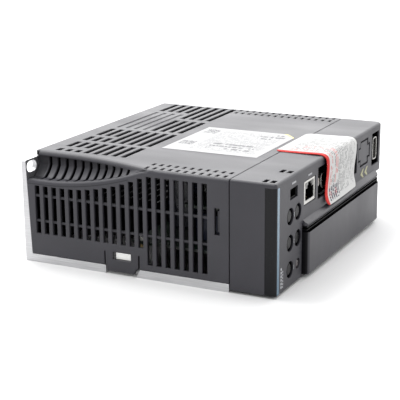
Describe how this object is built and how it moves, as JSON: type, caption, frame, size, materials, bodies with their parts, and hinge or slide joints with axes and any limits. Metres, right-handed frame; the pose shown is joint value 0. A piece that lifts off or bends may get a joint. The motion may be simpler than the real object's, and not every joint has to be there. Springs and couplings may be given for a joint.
{
  "type": "servo drive",
  "caption": "Book-style AC servo drive: aluminium L heat sink, louvred plastic casing, key panel, connector row and hinged terminal door, lying on its heat-sink side.",
  "frame": {"origin": "centre of the rear mounting face (the 172 x 62 mm outline at the cabinet wall)", "axes": "+X from the rear mounting face to the front panel, +Y along the long side away from the scoop end, +Z from the heat-sink base to the label side"},
  "size_m": [0.1594, 0.172, 0.0627],
  "materials": {
    "bare_aluminium": "satin sawn extrusion",
    "casing_grey": "fine spark-eroded texture",
    "front_grey": "fine spark-eroded texture",
    "door_grey": "satin",
    "window_black": "gloss, smoked",
    "accent_blue": "satin",
    "key_black": "satin",
    "lamp_red": "translucent",
    "port_steel": "bright plated",
    "connector_black": "moulded",
    "contact_gold": "gold plated",
    "mark_yellow": "printed",
    "pin_steel": "turned",
    "plug_green": "moulded",
    "lever_orange": "moulded",
    "header_black": "moulded",
    "label_silver": "printed polyester film",
    "tag_paper": "printed paper",
    "fan_black": "moulded",
    "screw_zinc": "zinc plated",
    "pad_grey": "soft",
    "module_black": "epoxy",
    "pcb_green": "solder mask",
    "standoff_brass": "turned",
    "capacitor_sleeve": "sleeve",
    "choke_core": "coated core with copper winding",
    "relay_blue": "moulded",
    "transformer_tape": "tape",
    "film_grey": "moulded",
    "chip_black": "epoxy",
    "display_red": "digit face",
    "cable_grey": "insulation",
    "clip_white": "natural nylon"
  },
  "bodies": {
    "chassis": {"heat_sink": "bare_aluminium", "rear_casing": "casing_grey", "front_casing": "front_grey", "display_strip": "window_black", "accent_strip": "accent_blue", "charge_lamp": "lamp_red", "service_port": "connector_black", "network_jack_shield": "port_steel", "network_jack_insert": "connector_black", "network_jack_contacts": "contact_gold", "signal_connector_body": "connector_black", "signal_connector_shell": "port_steel", "signal_connector_latches": "port_steel", "option_port_blank": "front_grey", "encoder_connector_body": "connector_black", "encoder_connector_shell": "port_steel", "panel_arrows": "mark_yellow", "hinge_pins": "pin_steel", "plug_levers": "lever_orange", "terminal_headers": "header_black", "rating_label": "label_silver", "paper_tag": "tag_paper", "fan_frame": "fan_black", "fan_guard": "screw_zinc", "fan_screws": "screw_zinc", "earth_screws": "screw_zinc", "module_screws": "screw_zinc", "board_screws": "screw_zinc", "thermal_pads": "pad_grey", "power_module": "module_black", "rectifier": "module_black", "module_pins": "pin_steel", "power_board": "pcb_green", "board_standoffs": "standoff_brass", "bulk_capacitors": "capacitor_sleeve", "line_choke": "choke_core", "inrush_relay": "relay_blue", "supply_transformer": "transformer_tape", "film_capacitor": "film_grey", "control_board": "pcb_green", "control_chips": "chip_black", "keypad_board": "pcb_green", "tact_switches": "chip_black", "display_module": "display_red", "ribbon_cable": "cable_grey", "base_clip": "clip_white", "mains_plug": "plug_green", "link_plug": "plug_green", "motor_plug": "plug_green"},
    "key_mode": {"key_mode": "key_black"},
    "key_up": {"key_up": "key_black"},
    "key_shift": {"key_shift": "key_black"},
    "key_down": {"key_down": "key_black"},
    "key_set": {"key_set": "key_black"},
    "door": {"terminal_door": "door_grey"},
    "fan": {"fan_rotor": "fan_black"}
  },
  "joints": [
    {"name": "press_mode", "type": "slide", "parent": "chassis", "child": "key_mode", "axis": [-1, 0, 0], "range_m": [0, 0.0008], "stiffness_N_per_m": 300},
    {"name": "press_up", "type": "slide", "parent": "chassis", "child": "key_up", "axis": [-1, 0, 0], "range_m": [0, 0.0008], "stiffness_N_per_m": 300},
    {"name": "press_shift", "type": "slide", "parent": "chassis", "child": "key_shift", "axis": [-1, 0, 0], "range_m": [0, 0.0008], "stiffness_N_per_m": 300},
    {"name": "press_down", "type": "slide", "parent": "chassis", "child": "key_down", "axis": [-1, 0, 0], "range_m": [0, 0.0008], "stiffness_N_per_m": 300},
    {"name": "press_set", "type": "slide", "parent": "chassis", "child": "key_set", "axis": [-1, 0, 0], "range_m": [0, 0.0008], "stiffness_N_per_m": 300},
    {"name": "door_swing", "type": "hinge", "parent": "chassis", "child": "door", "pos_m": [0.1565, 0, -0.0271], "axis": [0, 1, 0], "range_deg": [0, 90]},
    {"name": "fan_spin", "type": "hinge", "parent": "chassis", "child": "fan", "pos_m": [0.037, 0.076, -0.005], "axis": [0, 1, 0], "continuous": true}
  ]
}
